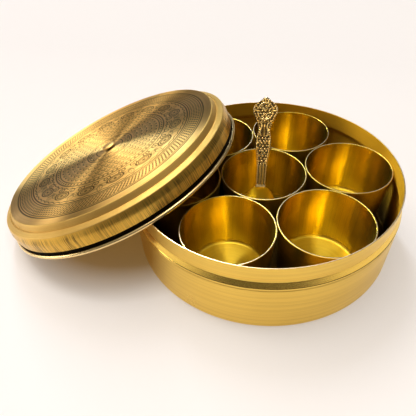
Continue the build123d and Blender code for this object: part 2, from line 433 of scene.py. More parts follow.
def brass(
    name, tone, rough, stretch=0.0, rings=0.15, drawn=0.0, tarnish=0.3, hatch=0.0, cut=0.0, deep=None
):
    """Worked brass of a tone and a roughness.

    Stretch draws out its highlights. Rings, drawn and tarnish are how strongly turning rings, upright
    streaks and clouds show. Hatch adds dark marks low down, and cut darkens engraved lines. Deep is
    two heights and the share of the dark colour at the first, which ends at the second: painted shade,
    darker towards the bottom.
    """
    made, tree, shader = material(name)
    if stretch:
        tangent = add(tree, "Tangent", direction_type="RADIAL", axis="Z").outputs[0]
        feed(shader, {"Anisotropic": stretch, "Anisotropic Rotation": RADIAL, "Tangent": tangent})
    patina_and_shade = bpy.context.scene.spicebox_finish.patina_and_shade
    dull = scaled(tone, DULLED)
    fine = stretched_noise(tree, *FINE_RINGS)
    wide = stretched_noise(tree, *WIDE_RINGS)
    streak = stretched_noise(tree, *STREAKS)
    cloud = even_noise(tree, CLOUD_SCALE, 4.0)
    coloured = mixed(tree, ramp(tree, cloud, 0.4, 0.75, 0.0, tarnish), tone, dull)
    lines = weighted(tree, fine, 0.6, wide, 0.4)
    coloured = mixed(tree, ramp(tree, lines, 0.45, 0.68, 0.0, rings), coloured, dull)
    coloured = mixed(tree, ramp(tree, streak, 0.5, 0.75, 0.0, drawn), coloured, dull)
    roughness = ramp(tree, cloud, 0.3, 0.8, rough * 0.88, rough * 1.2)
    if hatch:
        marks = ramp(tree, stretched_noise(tree, *HATCH_MARKS, 2.0), 0.46, 0.56)
        where = ramp(tree, stretched_noise(tree, *HATCH_PATCHES), 0.4, 0.62, 0.3, 1.0)
        low = ramp(tree, own_parts(tree)[2], *HATCH_TOP, 1.0, 0.1)
        share = times(tree, times(tree, marks, where), times(tree, low, hatch))
        coloured = mixed(tree, share, coloured, patina_and_shade)
    # painted shade: darker towards the bottom
    if deep:
        share = ramp(tree, own_parts(tree)[2], *deep, 0.0)
        coloured = mixed(tree, share, coloured, patina_and_shade)
    if cut:
        mark = add(tree, "Attribute", attribute_name="cut").outputs["Fac"]
        coloured = mixed(tree, times(tree, mark, cut), coloured, patina_and_shade)
        roughness = maths(tree, "ADD", roughness, times(tree, mark, 0.25))
    normal = rippled(tree, weighted(tree, fine, 0.4 + rings, streak, drawn), 0.1)
    feed(shader, {"Metallic": 1.0, "Base Color": coloured, "Roughness": roughness, "Normal": normal})
    return made


def cast_brass(name, tone, patina_and_shade):
    """Cast brass, rubbed bright on its beads and dark in its recesses."""
    made, tree, shader = material(name)
    high = add(tree, "Attribute", attribute_name="high").outputs["Fac"]
    grain = even_noise(tree, GRAIN_SCALE, 3.0)
    wear_and_shade = maths(tree, "ADD", high, times(tree, maths(tree, "SUBTRACT", grain, 0.5), 0.35))
    coloured = mixed(tree, ramp(tree, wear_and_shade, 0.02, 0.28), patina_and_shade, tone)
    roughness = ramp(tree, wear_and_shade, 0.1, 0.6, 0.5, 0.2)
    normal = rippled(tree, grain, 0.15)
    feed(shader, {"Metallic": 1.0, "Base Color": coloured, "Roughness": roughness, "Normal": normal})
    return made


# Box and cups

SCORE_DROP, SCORE_DEPTH = 0.0019, 0.00025  # the fine line under the shoulder
FOOT_ROUNDING, RIM_ROUNDING = 0.0032, 0.0002
RECESS_SLOPE = 0.0014  # how far the recess under the box leans in
CRISP = 0.0003  # the small flat beside a crisp edge
STEP_FOOT, STEP_TOP = 0.0008, 0.0006  # the step inside, each side of the standing ring's edge
LIP_ROUNDING = 0.0004
BOX_LOW_SHADE, CUP_LOW_SHADE = (0.008, 0.030, 0.9), (0.006, 0.032, 0.8)  # painted shade: darker towards the bottom, inside the box and low on the cups
CUP_SPIN = 1.9  # turns each cup's grain, so that no two look alike


def box_outline(body):
    """Outline of the spun box: outside up from the underside, over the rim and down inside."""
    wide = body.collar_radius + body.shoulder_step
    band_top = body.height - body.collar_height
    shoulder = band_top - body.band_height
    score = shoulder - SCORE_DROP
    foot = wide - body.foot_width
    floor = body.floor_lift + body.sheet
    wall = wide - body.sheet
    collar = body.collar_radius - body.sheet
    outside, inside, band = 1, 2, 3
    return [
        (0, body.floor_lift, 0, outside),
        (foot - RECESS_SLOPE, body.floor_lift, 0.0005, outside),
        (foot, 0, 0.0003, outside),
        (wide, 0, FOOT_ROUNDING, outside),
        (wide, score - SCORE_DEPTH, 0, outside),
        (wide - SCORE_DEPTH, score, 0, outside),
        (wide, score + SCORE_DEPTH, 0, outside),
        (wide, shoulder, 0.00015, band),
        (wide - CRISP, shoulder + CRISP, 0, band),
        (body.collar_radius, band_top, 0, outside),
        (body.collar_radius, body.height, RIM_ROUNDING),
        (collar, body.height, RIM_ROUNDING, inside),
        (collar, band_top, 0.0001, inside),
        (wall, shoulder - CRISP, 0.0001, inside),
        (wall, body.sheet, 0.001, inside),
        (foot + STEP_FOOT, body.sheet, 0.0003, inside),
        (foot - STEP_TOP, floor, 0.0005, inside),
        (0, floor, 0, inside),
    ]


def cup_outline(cup):
    """Outline of one cup, standing on z = 0."""
    inside_rim = cup.rim_radius - cup.lip
    under_lip = cup.height - cup.lip
    extra = cup.lip - cup.sheet
    slope = (cup.rim_radius - cup.base_radius) / cup.height
    root = cup.base_radius + slope * under_lip - extra
    base = cup.base_radius - extra
    outside, inside, bottom = 1, 2, 3
    return [
        (0, 0, 0, outside),
        (base, 0, cup.corner, outside),
        (root, under_lip, 0.0001, outside),
        (cup.rim_radius, under_lip + CRISP, 0.0002, outside),
        (cup.rim_radius, cup.height, LIP_ROUNDING),
        (inside_rim, cup.height, LIP_ROUNDING, inside),
        (base - cup.sheet, cup.sheet, cup.corner - cup.sheet, bottom),
        (0, cup.sheet, 0, bottom),
    ]


class SPICEBOX_OT_box(Operator):
    """Make the spun box"""

    bl_idname = "spicebox.box"
    bl_label = "Box"

    def execute(self, context):
        scene = context.scene
        tone = scene.spicebox_finish
        finishes = [
            brass("box_edge", tone.edge_brass, 0.42, rings=0.05, tarnish=0.1),
            brass("box_outside", tone.box_brass, 0.3, 0.72, rings=0.45, tarnish=0.05),
            brass("box_inside", tone.box_inside, 0.6, 0.9, rings=0.25, tarnish=0.05, deep=BOX_LOW_SHADE),
            brass("box_band", tone.box_brass, 0.17, rings=0.3, tarnish=0.3),
        ]
        outline = box_outline(scene.spicebox_body)
        piece = turned("spun_box", outline, 2 * scene.spicebox_stage.segments, finishes)
        put(piece, "box", "box_body", on_axis("box_body"))
        return {"FINISHED"}


class SPICEBOX_OT_cups(Operator):
    """Make the seven cups"""

    bl_idname = "spicebox.cups"
    bl_label = "Cups"

    def execute(self, context):
        scene = context.scene
        tone = scene.spicebox_finish
        finishes = [
            brass("cup_edge", tone.edge_brass, 0.4, rings=0.05, tarnish=0.1),
            brass("cup_outside", tone.cup_brass, 0.34, 0.6, rings=0.2, drawn=0.35, deep=CUP_LOW_SHADE),
            brass("cup_inside", tone.cup_inside, 0.23, 0.85, rings=0.1, drawn=0.9, tarnish=0.1),
            brass("cup_bottom", tone.cup_floor, 0.30, 0.98, rings=0.4, tarnish=0.35),
        ]
        outline = cup_outline(scene.spicebox_cup)
        for index, name in enumerate(CUPS):
            piece = turned("spun_cup_" + name, outline, scene.spicebox_stage.segments, finishes)
            place = on_axis("cup_" + name) @ Matrix.Rotation(index * CUP_SPIN, 4, "Z")
            put(piece, name + "_cup", "cup_" + name, place)
        return {"FINISHED"}


# Lid

HOLE = 0.00245  # radius of the hole that the rivet goes through
BOSS, BOSS_FOOT = 0.009, 0.014  # the pressed boss under it: top and foot
GROOVE_WIDTH, GROOVE_FLOOR, GROOVE_RISE = 0.0011, 0.00077, 0.0004
DRUM_SLOPE = 0.002  # how far the drum's wall leans in
LINER_CORNER, SKIRT_ROUNDING, EDGE_ROUNDING = 0.005, 0.009, 0.0011
BOSS_ROUNDING = 0.0015
SHANK, NECK, TAIL = 0.0024, 0.0032, 0.0038  # radii of the rivet
HEAD_LIFT, HEAD_RISE, TAIL_DEPTH = 0.0012, 0.002, 0.0013
WASHER_RADIUS, WASHER_SHEET = 0.0055, 0.0008
BEAD_STEPS = 32
SHELL_SEGMENTS, SHELL_RINGS = 960, 228  # fine enough for the engraving
SMALL_SEGMENTS = 64
PLAIN_MIDDLE = 0.0066  # radius round the rivet that isn't engraved
# the skirt's darker brass: partly its own tone, partly painted shade
SKIRT_TONE_AND_SHADE = (0.88, 0.80, 0.70)


def bead_ring(lid):
    """Radius of the circle that the bead's wire lies on."""
    return lid.liner_radius + 0.4 * lid.sheet + lid.bead_radius


def lid_top(lid):
    """Height of the engraved top."""
    return lid.groove + lid.drum_height


def lid_place(lid):
    """Where the lid's own frame stands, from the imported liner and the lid's own slide."""
    axis = next(Vector(joint["axis"]) for joint in frame["joints"] if joint["name"] == "lid_lift")
    low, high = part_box("lid_liner")
    ring, bead = bead_ring(lid), lid.bead_radius
    lean = atan2(-axis.x, axis.z)
    centre_x = low.x + ring * cos(lean) + bead * (1 + sin(lean))
    centre_z = low.z + ring * sin(lean) + bead * (1 - cos(lean))
    return Matrix.Translation((centre_x, 0, centre_z)) @ Matrix.Rotation(-lean, 4, "Y")


def liner_outline(lid):
    """Outline of the inner pan, with its boss and its wired bead."""
    sheet, bead, ring = lid.sheet, lid.bead_radius, bead_ring(lid)
    wall = lid.liner_radius + sheet
    pan = lid.liner_depth + sheet
    boss = lid_top(lid) - 2 * sheet
    joined = acos((wall - ring) / bead)
    # gap is a near-black painted shade on the liner's wall in the gap under the skirt
    rolled, gap = 1, 2
    bead_points = []
    for step in range(BEAD_STEPS + 1):
        way = joined - step * (joined + pi) / BEAD_STEPS
        bead_points.append((ring + bead * cos(way), bead + bead * sin(way), 0, rolled))
    return [
        (HOLE, boss + sheet, 0),
        (BOSS, boss + sheet, BOSS_ROUNDING),
        (BOSS_FOOT, pan, BOSS_ROUNDING),
        (wall, pan, LINER_CORNER, gap),
        *bead_points,
        (lid.liner_radius, bead, 0),
        (lid.liner_radius, lid.liner_depth, LINER_CORNER - sheet),
        (BOSS_FOOT - sheet, lid.liner_depth, BOSS_ROUNDING),
        (BOSS - sheet, boss, BOSS_ROUNDING),
        (HOLE, boss, 0),
    ]


def shell_outline(lid):
    """Outline of the outer cap: its top, drum, groove, shoulder and skirt, and back inside."""
    sheet, top = lid.sheet, lid_top(lid)
    outer = lid.shell_inner + sheet
    drum = outer - lid.shoulder_width - GROOVE_WIDTH
    ditch, end = drum + GROOVE_FLOOR, drum + GROOVE_WIDTH
    high = lid.groove + GROOVE_RISE
    upper = drum - DRUM_SLOPE
    disc, shoulder, inside = 1, 2, 3
    return [
        (HOLE, top, 0, disc, SHELL_RINGS),
        (upper, top, EDGE_ROUNDING, shoulder),
        (drum, lid.groove, 0.0002, shoulder),
        (ditch, lid.groove, 0.0002, shoulder),
        (end, high, 0.0003, shoulder),
        (outer - lid.skirt_lean, lid.skirt_top, EDGE_ROUNDING),
        (outer, lid.skirt_bend, SKIRT_ROUNDING),
        (outer, lid.shell_edge, 0.0002),
        (lid.shell_inner, lid.shell_edge, 0, inside),
        (lid.shell_inner, lid.skirt_bend, SKIRT_ROUNDING - sheet, inside),
        (lid.shell_inner - lid.skirt_lean, lid.skirt_top - sheet, EDGE_ROUNDING - sheet, inside),
        (end, high - sheet, 0.0002, inside),
        (ditch, lid.groove - sheet, 0.0002, inside),
        (drum - sheet, lid.groove - sheet, 0.0002, inside),
        (upper - sheet * 0.9, top - sheet, EDGE_ROUNDING - sheet, inside),
        (HOLE, top - sheet, 0, inside),
    ]


def rivet_outline(lid):
    """Outline of the button-headed rivet, down from the middle of its head."""
    top = lid_top(lid)
    head = top + HEAD_LIFT
    under = top - 2 * lid.sheet - WASHER_SHEET
    # gap is a near-black painted shadow under the rivet's head and round its neck
    gap = 1
    return [
        (0, head + HEAD_RISE, 0),
        (lid.rivet_head * 0.55, head + HEAD_RISE, 0.0015),
        (lid.rivet_head, head + 0.0009, 0.0005),
        (lid.rivet_head, head, 0.00025, gap),
        (NECK, head, 0, gap),
        (NECK, top, 0),
        (SHANK, top, 0),
        (SHANK, under, 0),
        (TAIL, under, 0.0002),
        (TAIL * 0.7, under - TAIL_DEPTH, 0.0004),
        (0, under - TAIL_DEPTH, 0),
    ]


def washer_outline(lid):
    """Outline of the washer under the rivet's tail."""
    high = lid_top(lid) - 2 * lid.sheet
    low = high - WASHER_SHEET
    return [(HOLE, high, 0), (WASHER_RADIUS, high, 0.0001), (WASHER_RADIUS, low, 0.0001), (HOLE, low, 0)]


# The lid's pattern, in millimetres

PLAIN_RINGS = (  # radius and width
    (85.4, 1.0), (83.6, 0.7), (73.4, 0.7), (71.6, 1.0), (50.4, 0.9), (46.6, 0.7),
    (20.6, 0.8), (18.8, 0.5), (12.2, 0.6),
)
BAND_INNER, BAND_OUTER, BAND_STROKES = 74.2, 82.8, 168
MEDALLION_RING, MEDALLIONS = 61.5, 16
OVAL_LONG, OVAL_WIDE = 6.6, 4.6  # half an oval, round the lid and outwards
DOT_RING, DOTS = 48.5, 78
PETAL_ROWS = ((12.8, 14), (21.2, 22), (25.7, 28), (30.2, 34), (34.7, 40), (39.2, 46))  # foot, count


def stroke(distance, width):
    """1 on a line of that width, falling to 0 beside it."""
    return np.clip(1.45 - np.abs(distance) / (width / 2), 0, 1)


def leaf(along, across, half, wide):
    """A pointed leaf, from 0 to 2 * half along its rib: its outline and rib."""
    share = np.clip(along / (2 * half), 0, 1)
    edge = wide * np.sin(pi * share) ** 0.8
    on = (along > 0) & (along < 2 * half)
    outline = 0.8 * stroke(np.abs(across) - edge, 0.55)
    rib = 0.6 * stroke(across, 0.4) * (share < 0.8)
    return np.where(on, np.maximum(outline, rib), 0)


def turned_to(u, v, at_v, angle):
    """Coordinates along and across a line that starts at (0, at_v) and runs at an angle."""
    dv = v - at_v
    return u * cos(angle) + dv * sin(angle), -u * sin(angle) + dv * cos(angle)


def cell(turn, count, shift=0.0):
    """Place in the nearest of some equal cells round the middle, from -0.5 to 0.5."""
    return (turn * count / (2 * pi) + shift) % 1.0 - 0.5


def slanting_band(r, turn):
    """Slanting strokes between the two outer double rings, each in four dashes."""
    band = np.clip((r - BAND_INNER) / 0.5, 0, 1) * np.clip((BAND_OUTER - r) / 0.5, 0, 1)
    middle = (BAND_INNER + BAND_OUTER) / 2
    dash = ((r - BAND_INNER) / 2.15) % 1.0
    slant = cell(turn, BAND_STROKES, (r - middle) * 0.19)
    strokes = np.clip(1.5 - np.abs(slant) / 0.22, 0, 1)
    return strokes * np.clip(2.4 - np.abs(dash - 0.5) / 0.19, 0, 1) * band


def medallions(r, turn):
    """Ovals with rays, three leaves and two scrolls between them, and scalloped borders."""
    round_ring = 2 * pi / MEDALLIONS * r
    u, v = cell(turn, MEDALLIONS) * round_ring, r - MEDALLION_RING
    oval = np.sqrt((u / OVAL_LONG) ** 2 + (v / OVAL_WIDE) ** 2)
    rim = stroke((oval - 1) * OVAL_WIDE, 0.9)
    inner_rim = stroke((oval - 0.7) * OVAL_WIDE, 0.6)
    middle = np.clip(1.5 - np.hypot(u / 1.4, v), 0, 1)
    rays = stroke((np.arctan2(v, u) * 12 / (2 * pi)) % 1.0 - 0.5, 0.45)
    shapes = [rim, inner_rim, middle, 0.7 * rays * (oval > 0.34) * (oval < 0.62)]
    u = cell(turn, MEDALLIONS, 0.5) * round_ring
    for angle, half, wide in ((90, 4.6, 2.1), (38, 3.6, 1.7), (142, 3.6, 1.7)):
        shapes.append(leaf(*turned_to(u, v, -1.5, radians(angle)), half, wide))
    for spin in (-1, 1):
        along, across = u * spin - 4.4, v + 5.4
        curl = np.hypot(along, across)
        way = np.arctan2(across, along)
        shapes.append(stroke((curl - 1.0 - 0.35 * (way + pi)) % 2.2 - 1.1, 0.8) * (curl < 3.6))
    shapes.append(stroke(r - 52.6 - 1.2 * np.abs(np.sin(24 * turn)), 0.7))
    shapes.append(stroke(r - 70.0 + 1.2 * np.abs(np.sin(32 * turn)), 0.7))
    return np.maximum.reduce(shapes)


def petals(r, turn, foot, count, shift):
    """One row of overlapping petals, each with a rib and two short side ribs."""
    share = cell(turn, count, shift)
    across = np.abs(share) * 2 * pi / count * r
    high = r - foot
    outline = stroke(high - 4.9 * np.sqrt(np.clip(1 - (2 * share) ** 2, 0, 1)), 0.8)
    rib = 0.8 * stroke(across, 0.5) * (high > 1.2) * (high < 3.9)
    side_ribs = 0.6 * stroke(across - 1.3, 0.45) * (high > 1.6) * (high < 3.2)
    on = (high > -0.3) & (high < 5.6)
    return np.where(on, np.maximum.reduce([outline, rib, side_ribs]), 0)


def engraving(r, turn):
    """How deep the lid's top is cut, 0 to 1, by radius in millimetres and angle."""
    shapes = [stroke(r - radius, width) for radius, width in PLAIN_RINGS]
    shapes += [slanting_band(r, turn), medallions(r, turn)]
    dot = np.hypot(cell(turn, DOTS) * 2 * pi / DOTS * r, r - DOT_RING)
    shapes.append(np.clip(1.6 - dot / 0.75, 0, 1))
    for row, (foot, count) in enumerate(PETAL_ROWS):
        shapes.append(petals(r, turn, foot, count, 0.5 * (row % 2)))
    return np.maximum.reduce(shapes)


def engraved(lid):
    """Relief for the lid's shell: sinks the lines in its flat top and turns the normals there."""

    def relief(co, loops, normals):
        radius = np.hypot(co[:, 0], co[:, 1])
        flat = (np.abs(co[:, 2] - lid_top(lid)) < TINY) & (radius > PLAIN_MIDDLE)
        cut = np.where(flat, engraving(radius / MM, np.arctan2(co[:, 1], co[:, 0])), 0)
        co[:, 2] -= cut * lid.engraving
        step = 0.2 * MM
        slopes = []
        for way in ((step, 0), (0, step)):
            values = []
            for sign in (-1, 1):
                x, y = co[:, 0] + sign * way[0], co[:, 1] + sign * way[1]
                values.append(engraving(np.hypot(x, y) / MM, np.arctan2(y, x)))
            slopes.append((values[1] - values[0]) * lid.engraving / (2 * step))
        tilt = np.stack([*slopes, np.ones(len(co))], 1)
        tilt /= np.linalg.norm(tilt, axis=1)[:, None]
        facing = flat[loops] & (normals[:, 2] > 0.99)
        normals[facing] = tilt[loops][facing]
        return cut, normals

    return relief


class SPICEBOX_OT_lid(Operator):
    """Make the lid's engraved shell, its liner, rivet and washer"""

    bl_idname = "spicebox.lid"
    bl_label = "Lid"

    def execute(self, context):
        scene = context.scene
        tone, lid = scene.spicebox_finish, scene.spicebox_lid
        bead_tone = [0.5 * (pale + gold) for pale, gold in zip(tone.edge_brass, tone.box_brass)]
        # darker skirt brass: partly its own tone, partly painted shade
        wear_and_shade = scaled(tone.box_brass, SKIRT_TONE_AND_SHADE)
        liner = [
            brass("liner_inside", tone.box_brass, 0.34, 0.6, rings=0.3, tarnish=0.3),
            brass("lid_bead", bead_tone, 0.28, rings=0.1, tarnish=0.2),
            # near-black painted shade for the gap under the skirt and under the rivet's head
            brass("lid_gap", scaled(tone.patina_and_shade, [0.12] * 3), 0.7),
        ]
        shell = [
            # the skirt's heavier tarnish and hatch marks are real marks, laid on thicker as painted
            # shade
            brass("lid_skirt", wear_and_shade, 0.34, 0.6, rings=0.2, tarnish=0.5, hatch=0.9),
            brass("lid_top", tone.lid_brass, 0.48, 0.98, rings=0.4, tarnish=0.3, cut=1.0),
            brass("lid_shoulder", tone.lid_shoulder, 0.55, 0.5, rings=0.35, tarnish=0.5),
            brass("lid_inside", tone.lid_brass, 0.4, rings=0.2, tarnish=0.6),
        ]
        rivet = brass("rivet_brass", scaled(tone.lid_brass, [0.7] * 3), 0.48, rings=0.2, tarnish=0.5)
        steps = 2 * scene.spicebox_stage.segments
        place = lid_place(lid)
        pan = turned("lid_pan", liner_outline(lid), steps, liner)
        put(pan, "lid", "lid_liner", place)
        cap = turned("lid_engraved_shell", shell_outline(lid), SHELL_SEGMENTS, shell, engraved(lid))
        put(cap, "lid", "lid_shell", place)
        # the underside of the rivet's head and its neck take the near-black painted shadow
        button = turned("lid_button_rivet", rivet_outline(lid), SMALL_SEGMENTS, [rivet, liner[2]])
        put(button, "lid", "lid_rivet", place)
        washer = turned("lid_round_washer", washer_outline(lid), SMALL_SEGMENTS, [rivet])
        put(washer, "lid", "lid_washer", place)
        return {"FINISHED"}


# Spoon

# share of the handle's length, and half its width there
HANDLE_SIDE = (
    (0.0, 0.0039), (0.1, 0.0039), (0.22, 0.0041), (0.33, 0.0050), (0.44, 0.0061), (0.52, 0.0063),
    (0.585, 0.0055), (0.635, 0.0050), (0.7, 0.0060), (0.78, 0.0085), (0.85, 0.0102), (0.905, 0.0091),
    (0.945, 0.0060), (0.972, 0.0034), (0.99, 0.0024), (1.0, 0.0012),
)
# shares of its length where the handle's parts begin and end
SQUARED_END, NECK_END, WAIST_START, WAIST_END, HEAD_START = 0.03, 0.235, 0.565, 0.715, 0.71
LYRE_MIDDLE, LYRE_LONG, LYRE_WIDE = 0.838, 7.4, 6.3  # share of the length, then half axes in mm
KNOBS = ((0.984, 0.0, 1.7), (0.957, 2.4, 1.25), (0.957, -2.4, 1.25))  # share, mm sideways, mm radius
BEAD_ROW, BEAD_COLUMN = 2.15, 2.6  # spacing of the beads in mm
HANDLE_ROWS, FACE_COLUMNS = 430, 57
BOWL_ROWS, BOWL_COLUMNS = 61, 33
REST_GAP = 0.0003  # room between the spoon and the cup that it rests on
WIDTH_AT_RIM = 0.00625  # half the handle's width where it crosses the cup's edge


def half_width(share):
    """Half the handle's width at a share of its length, on a smooth curve."""
    places, sizes = np.array(HANDLE_SIDE).T
    slopes = np.gradient(sizes, places)
    span = np.clip(np.searchsorted(places, share) - 1, 0, len(places) - 2)
    gap = places[span + 1] - places[span]
    t = (share - places[span]) / gap
    ends = (2 * t**3 - 3 * t**2 + 1) * sizes[span] + (3 * t**2 - 2 * t**3) * sizes[span + 1]
    return ends + gap * ((t**3 - 2 * t**2 + t) * slopes[span] + (t**3 - t**2) * slopes[span + 1])


def ridge(distance, width):
    """A round-backed line, 1 along its middle."""
    return np.sqrt(np.clip(1 - (distance / (width / 2)) ** 2, 0, 1))


def between(value, low, high, soft=0.012):
    """1 from low to high, with soft ends."""
    return np.clip((value - low) / soft + 0.5, 0, 1) * np.clip((high - value) / soft + 0.5, 0, 1)


def uneven(row, column, by_row, by_column, spread):
    """A number from 0 to 1 for each bead, so that no two are alike."""
    value = np.sin(row * by_row + column * by_column) * spread
    return value - np.floor(value)


def beads(along, across, half):
    """Beads in staggered rows, uneven in place and height, inside the rims."""
    row = np.round(along / BEAD_ROW)
    stagger = (row % 2) * BEAD_COLUMN / 2
    column = np.round((across - stagger) / BEAD_COLUMN)
    rise = uneven(row, column, 12.9, 78.2, 43.7)
    drift = uneven(row, column, 39.3, 11.1, 27.1)
    off_row = along - row * BEAD_ROW - (rise - 0.5) * 0.8
    off_column = across - column * BEAD_COLUMN - stagger - (drift - 0.5) * 0.9
    spot = np.hypot(off_row, off_column) / (0.85 + 0.35 * drift)
    inside = np.clip((half - 1.5 - np.abs(across)) / 0.3, 0, 1)
    return np.sqrt(np.clip(1 - spot**2, 0, 1)) * (0.6 + 0.4 * rise) * inside


def cast_ornament(share, across, half, long):
    """Height of the handle's ornament, 0 to 1. Lengths are millimetres."""
    along = share * long
    out = np.abs(across)
    lobes = np.maximum(between(share, NECK_END, WAIST_START), between(share, HEAD_START, 0.955))

    # fluted neck with a squared end, roped rims along both edges, and beads in both lobes
    flutes = 0.5 - 0.5 * np.cos(2 * pi * across / half / 0.6)
    rope = 0.8 + 0.2 * np.cos(2 * pi * along / 1.9)
    shapes = [
        0.85 * flutes * between(share, SQUARED_END, NECK_END),
        0.12 * between(share, -1, SQUARED_END),
        ridge(out - half + 0.8, 1.5) * rope * between(share, NECK_END, 0.975),
        beads(along, across, half) * lobes,
    ]

    # three strands at the waist
    bow = 0.52 * half + 0.5 * np.sin((share - WAIST_START) / 0.145 * 2 * pi)
    strands = np.maximum(ridge(out - bow, 1.7), 0.8 * ridge(across, 1.2))
    shapes.append(strands * between(share, WAIST_START, WAIST_END))
    high = np.maximum.reduce(shapes)

    # the lyre's ring, clear of the beads, the tongue under it, and the knobs at the tip
    ring = np.hypot((along - LYRE_MIDDLE * long) / LYRE_LONG, across / LYRE_WIDE) - 1
    shapes = [high * np.where(np.abs(ring) < 0.16, 0.5, 1), ridge(ring * 6.4, 1.3) * (share > 0.7)]
    tongue = 1.9 * np.sin(pi * np.clip((share - WAIST_END) / 0.1, 0, 1))
    shapes.append(ridge(out - tongue, 1.0) * between(share, WAIST_END, 0.815))
    for at, side, size in KNOBS:
        shapes.append(ridge(np.hypot(along - at * long, across - side), 2 * size))
    return np.maximum.reduce(shapes)


def skin(name, grid, finish, marks=None, crease=40.0):
    """A closed mesh from a grid of points, rows along and columns round, with capped ends."""
    rows, columns = grid.shape[:2]
    index = np.arange(rows * columns).reshape(rows, columns)
    after = np.roll(index, -1, 1)
    quads = np.stack([index[:-1], after[:-1], after[1:], index[1:]], 2).reshape(-1, 4)
    faces = quads.tolist() + [index[0][::-1].tolist(), index[-1].tolist()]
    me = bpy.data.meshes.new(name)
    me.from_pydata(grid.reshape(-1, 3).tolist(), [], faces)
    if marks is not None:
        mark = me.attributes.new("high", "FLOAT", "POINT")
        mark.data.foreach_set("value", marks.reshape(-1).astype(np.float32))
    me.materials.append(finish)
    me.polygons.foreach_set("use_smooth", np.ones(len(me.polygons), bool))
    me.set_sharp_from_angle(angle=radians(crease))
    me.validate()
    return bpy.data.objects.new(name, me)


def cast_handle(spoon, finish):
    """The cast handle: an ornamented face, plain sides and a plain back."""
    even = np.linspace(0, 1, HANDLE_ROWS)
    share = (1 - np.cos(even * pi)) / 2 * 0.12 + even * 0.88
    reach = pi / 2 * 0.9
    face = np.sin(np.linspace(-reach, reach, FACE_COLUMNS)) / sin(reach)
    share, face = np.meshgrid(share, face, indexing="ij")
    half = half_width(share) / MM
    across = face * half
    high = cast_ornament(share, across, half, spoon.handle_length / MM)
    brink = np.clip((1 - np.abs(face)) / 0.06, 0, 1) ** 0.5
    top = spoon.thickness / 2 - 0.0007 + spoon.relief * high * (0.55 + 0.45 * brink)
    along = spoon.bowl_length + 0.0005 + share * spoon.handle_length
    upper = np.stack([along, across * MM, top], 2)
    under = np.stack([along, across * MM, np.full_like(along, -spoon.thickness / 2)], 2)[:, ::-1]
    under = under[:, :: FACE_COLUMNS // 4]
    under[:, (0, -1), 2] += 0.0004
    grid = np.concatenate([upper, under], 1)[:, ::-1]
    marks = np.concatenate([high, np.full(under.shape[:2], 0.5)], 1)[:, ::-1]
    return skin("spoon_cast_handle", grid, finish, marks)


def spun_bowl(spoon, finish):
    """The spoon's smooth bowl, egg-shaped and drawn in to the neck."""
    share = (1 - np.cos(np.linspace(0.04, pi, BOWL_ROWS))) / 2
    face = np.sin(np.linspace(-pi / 2, pi / 2, BOWL_COLUMNS))
    share, face = np.meshgrid(share, face, indexing="ij")
    neck = 0.0036 * share**3
    half = (spoon.bowl_width / 2 - 0.0006) * np.sin(pi * share**0.92) ** 0.72 + neck
    deep = spoon.bowl_depth * np.sin(pi * share**0.95) ** 0.8 * (1 - face**2) ** 0.85
    along = share * (spoon.bowl_length + 0.0012)
    inner = np.stack([along, face * half, -deep], 2)
    outer = np.stack([along, face * (half + 0.0005), -deep - spoon.bowl_sheet], 2)
    outer[:, (0, -1), 2] = -spoon.bowl_sheet * 0.6
    grid = np.concatenate([inner, outer[:, ::-1]], 1)[:, ::-1]
    return skin("spoon_bowl_skin", grid, finish, crease=70.0)


def spoon_place(spoon, cup):
    """Where the spoon's frame stands: its tip on the cup's floor and its handle on the cup's edge."""
    low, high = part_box("cup_centre")
    reach = cup.base_radius - cup.sheet - spoon.wall_gap
    tip = Vector((-spoon.side, -reach, low.z + cup.sheet + REST_GAP))
    inner_rim = cup.rim_radius - cup.lip
    run = sqrt(inner_rim**2 - (spoon.side + WIDTH_AT_RIM) ** 2) - tip.y
    rise = high.z - tip.z
    lean = atan2(rise, run) + asin((spoon.thickness / 2 + REST_GAP) / hypot(run, rise))
    place = on_axis("cup_centre", 0.0) @ Matrix.Rotation(spoon.heading - pi / 2, 4, "Z")
    place = place @ Matrix.Translation(tip)
    return place @ Matrix.Rotation(pi / 2, 4, "Z") @ Matrix.Rotation(-lean, 4, "Y")


class SPICEBOX_OT_spoon(Operator):
    """Make the spoon's bowl and its cast handle"""

    bl_idname = "spicebox.spoon"
    bl_label = "Spoon"

    def execute(self, context):
        scene = context.scene
        tone, spoon = scene.spicebox_finish, scene.spicebox_spoon
        place = spoon_place(spoon, scene.spicebox_cup)
        smooth = brass("spoon_bowl_brass", tone.spoon_brass, 0.3, rings=0.05, tarnish=0.1)
        put(spun_bowl(spoon, smooth), "spoon", "spoon_bowl", place)
        cast = cast_brass("spoon_handle_brass", tone.handle_brass, tone.patina_and_shade)
        put(cast_handle(spoon, cast), "spoon", "spoon_handle", place)
        return {"FINISHED"}


# Stage

FLOOR_HALF = 6.0
# SHADE_MIDDLE is the middle of a painted shadow on the floor under the lid
SHADE_MIDDLE = (-0.062, 0.012, 0.0)  # of the floor under the lid
SHADE_EDGE = (0.088, 0.122)  # distances from it over which the floor's glow comes back
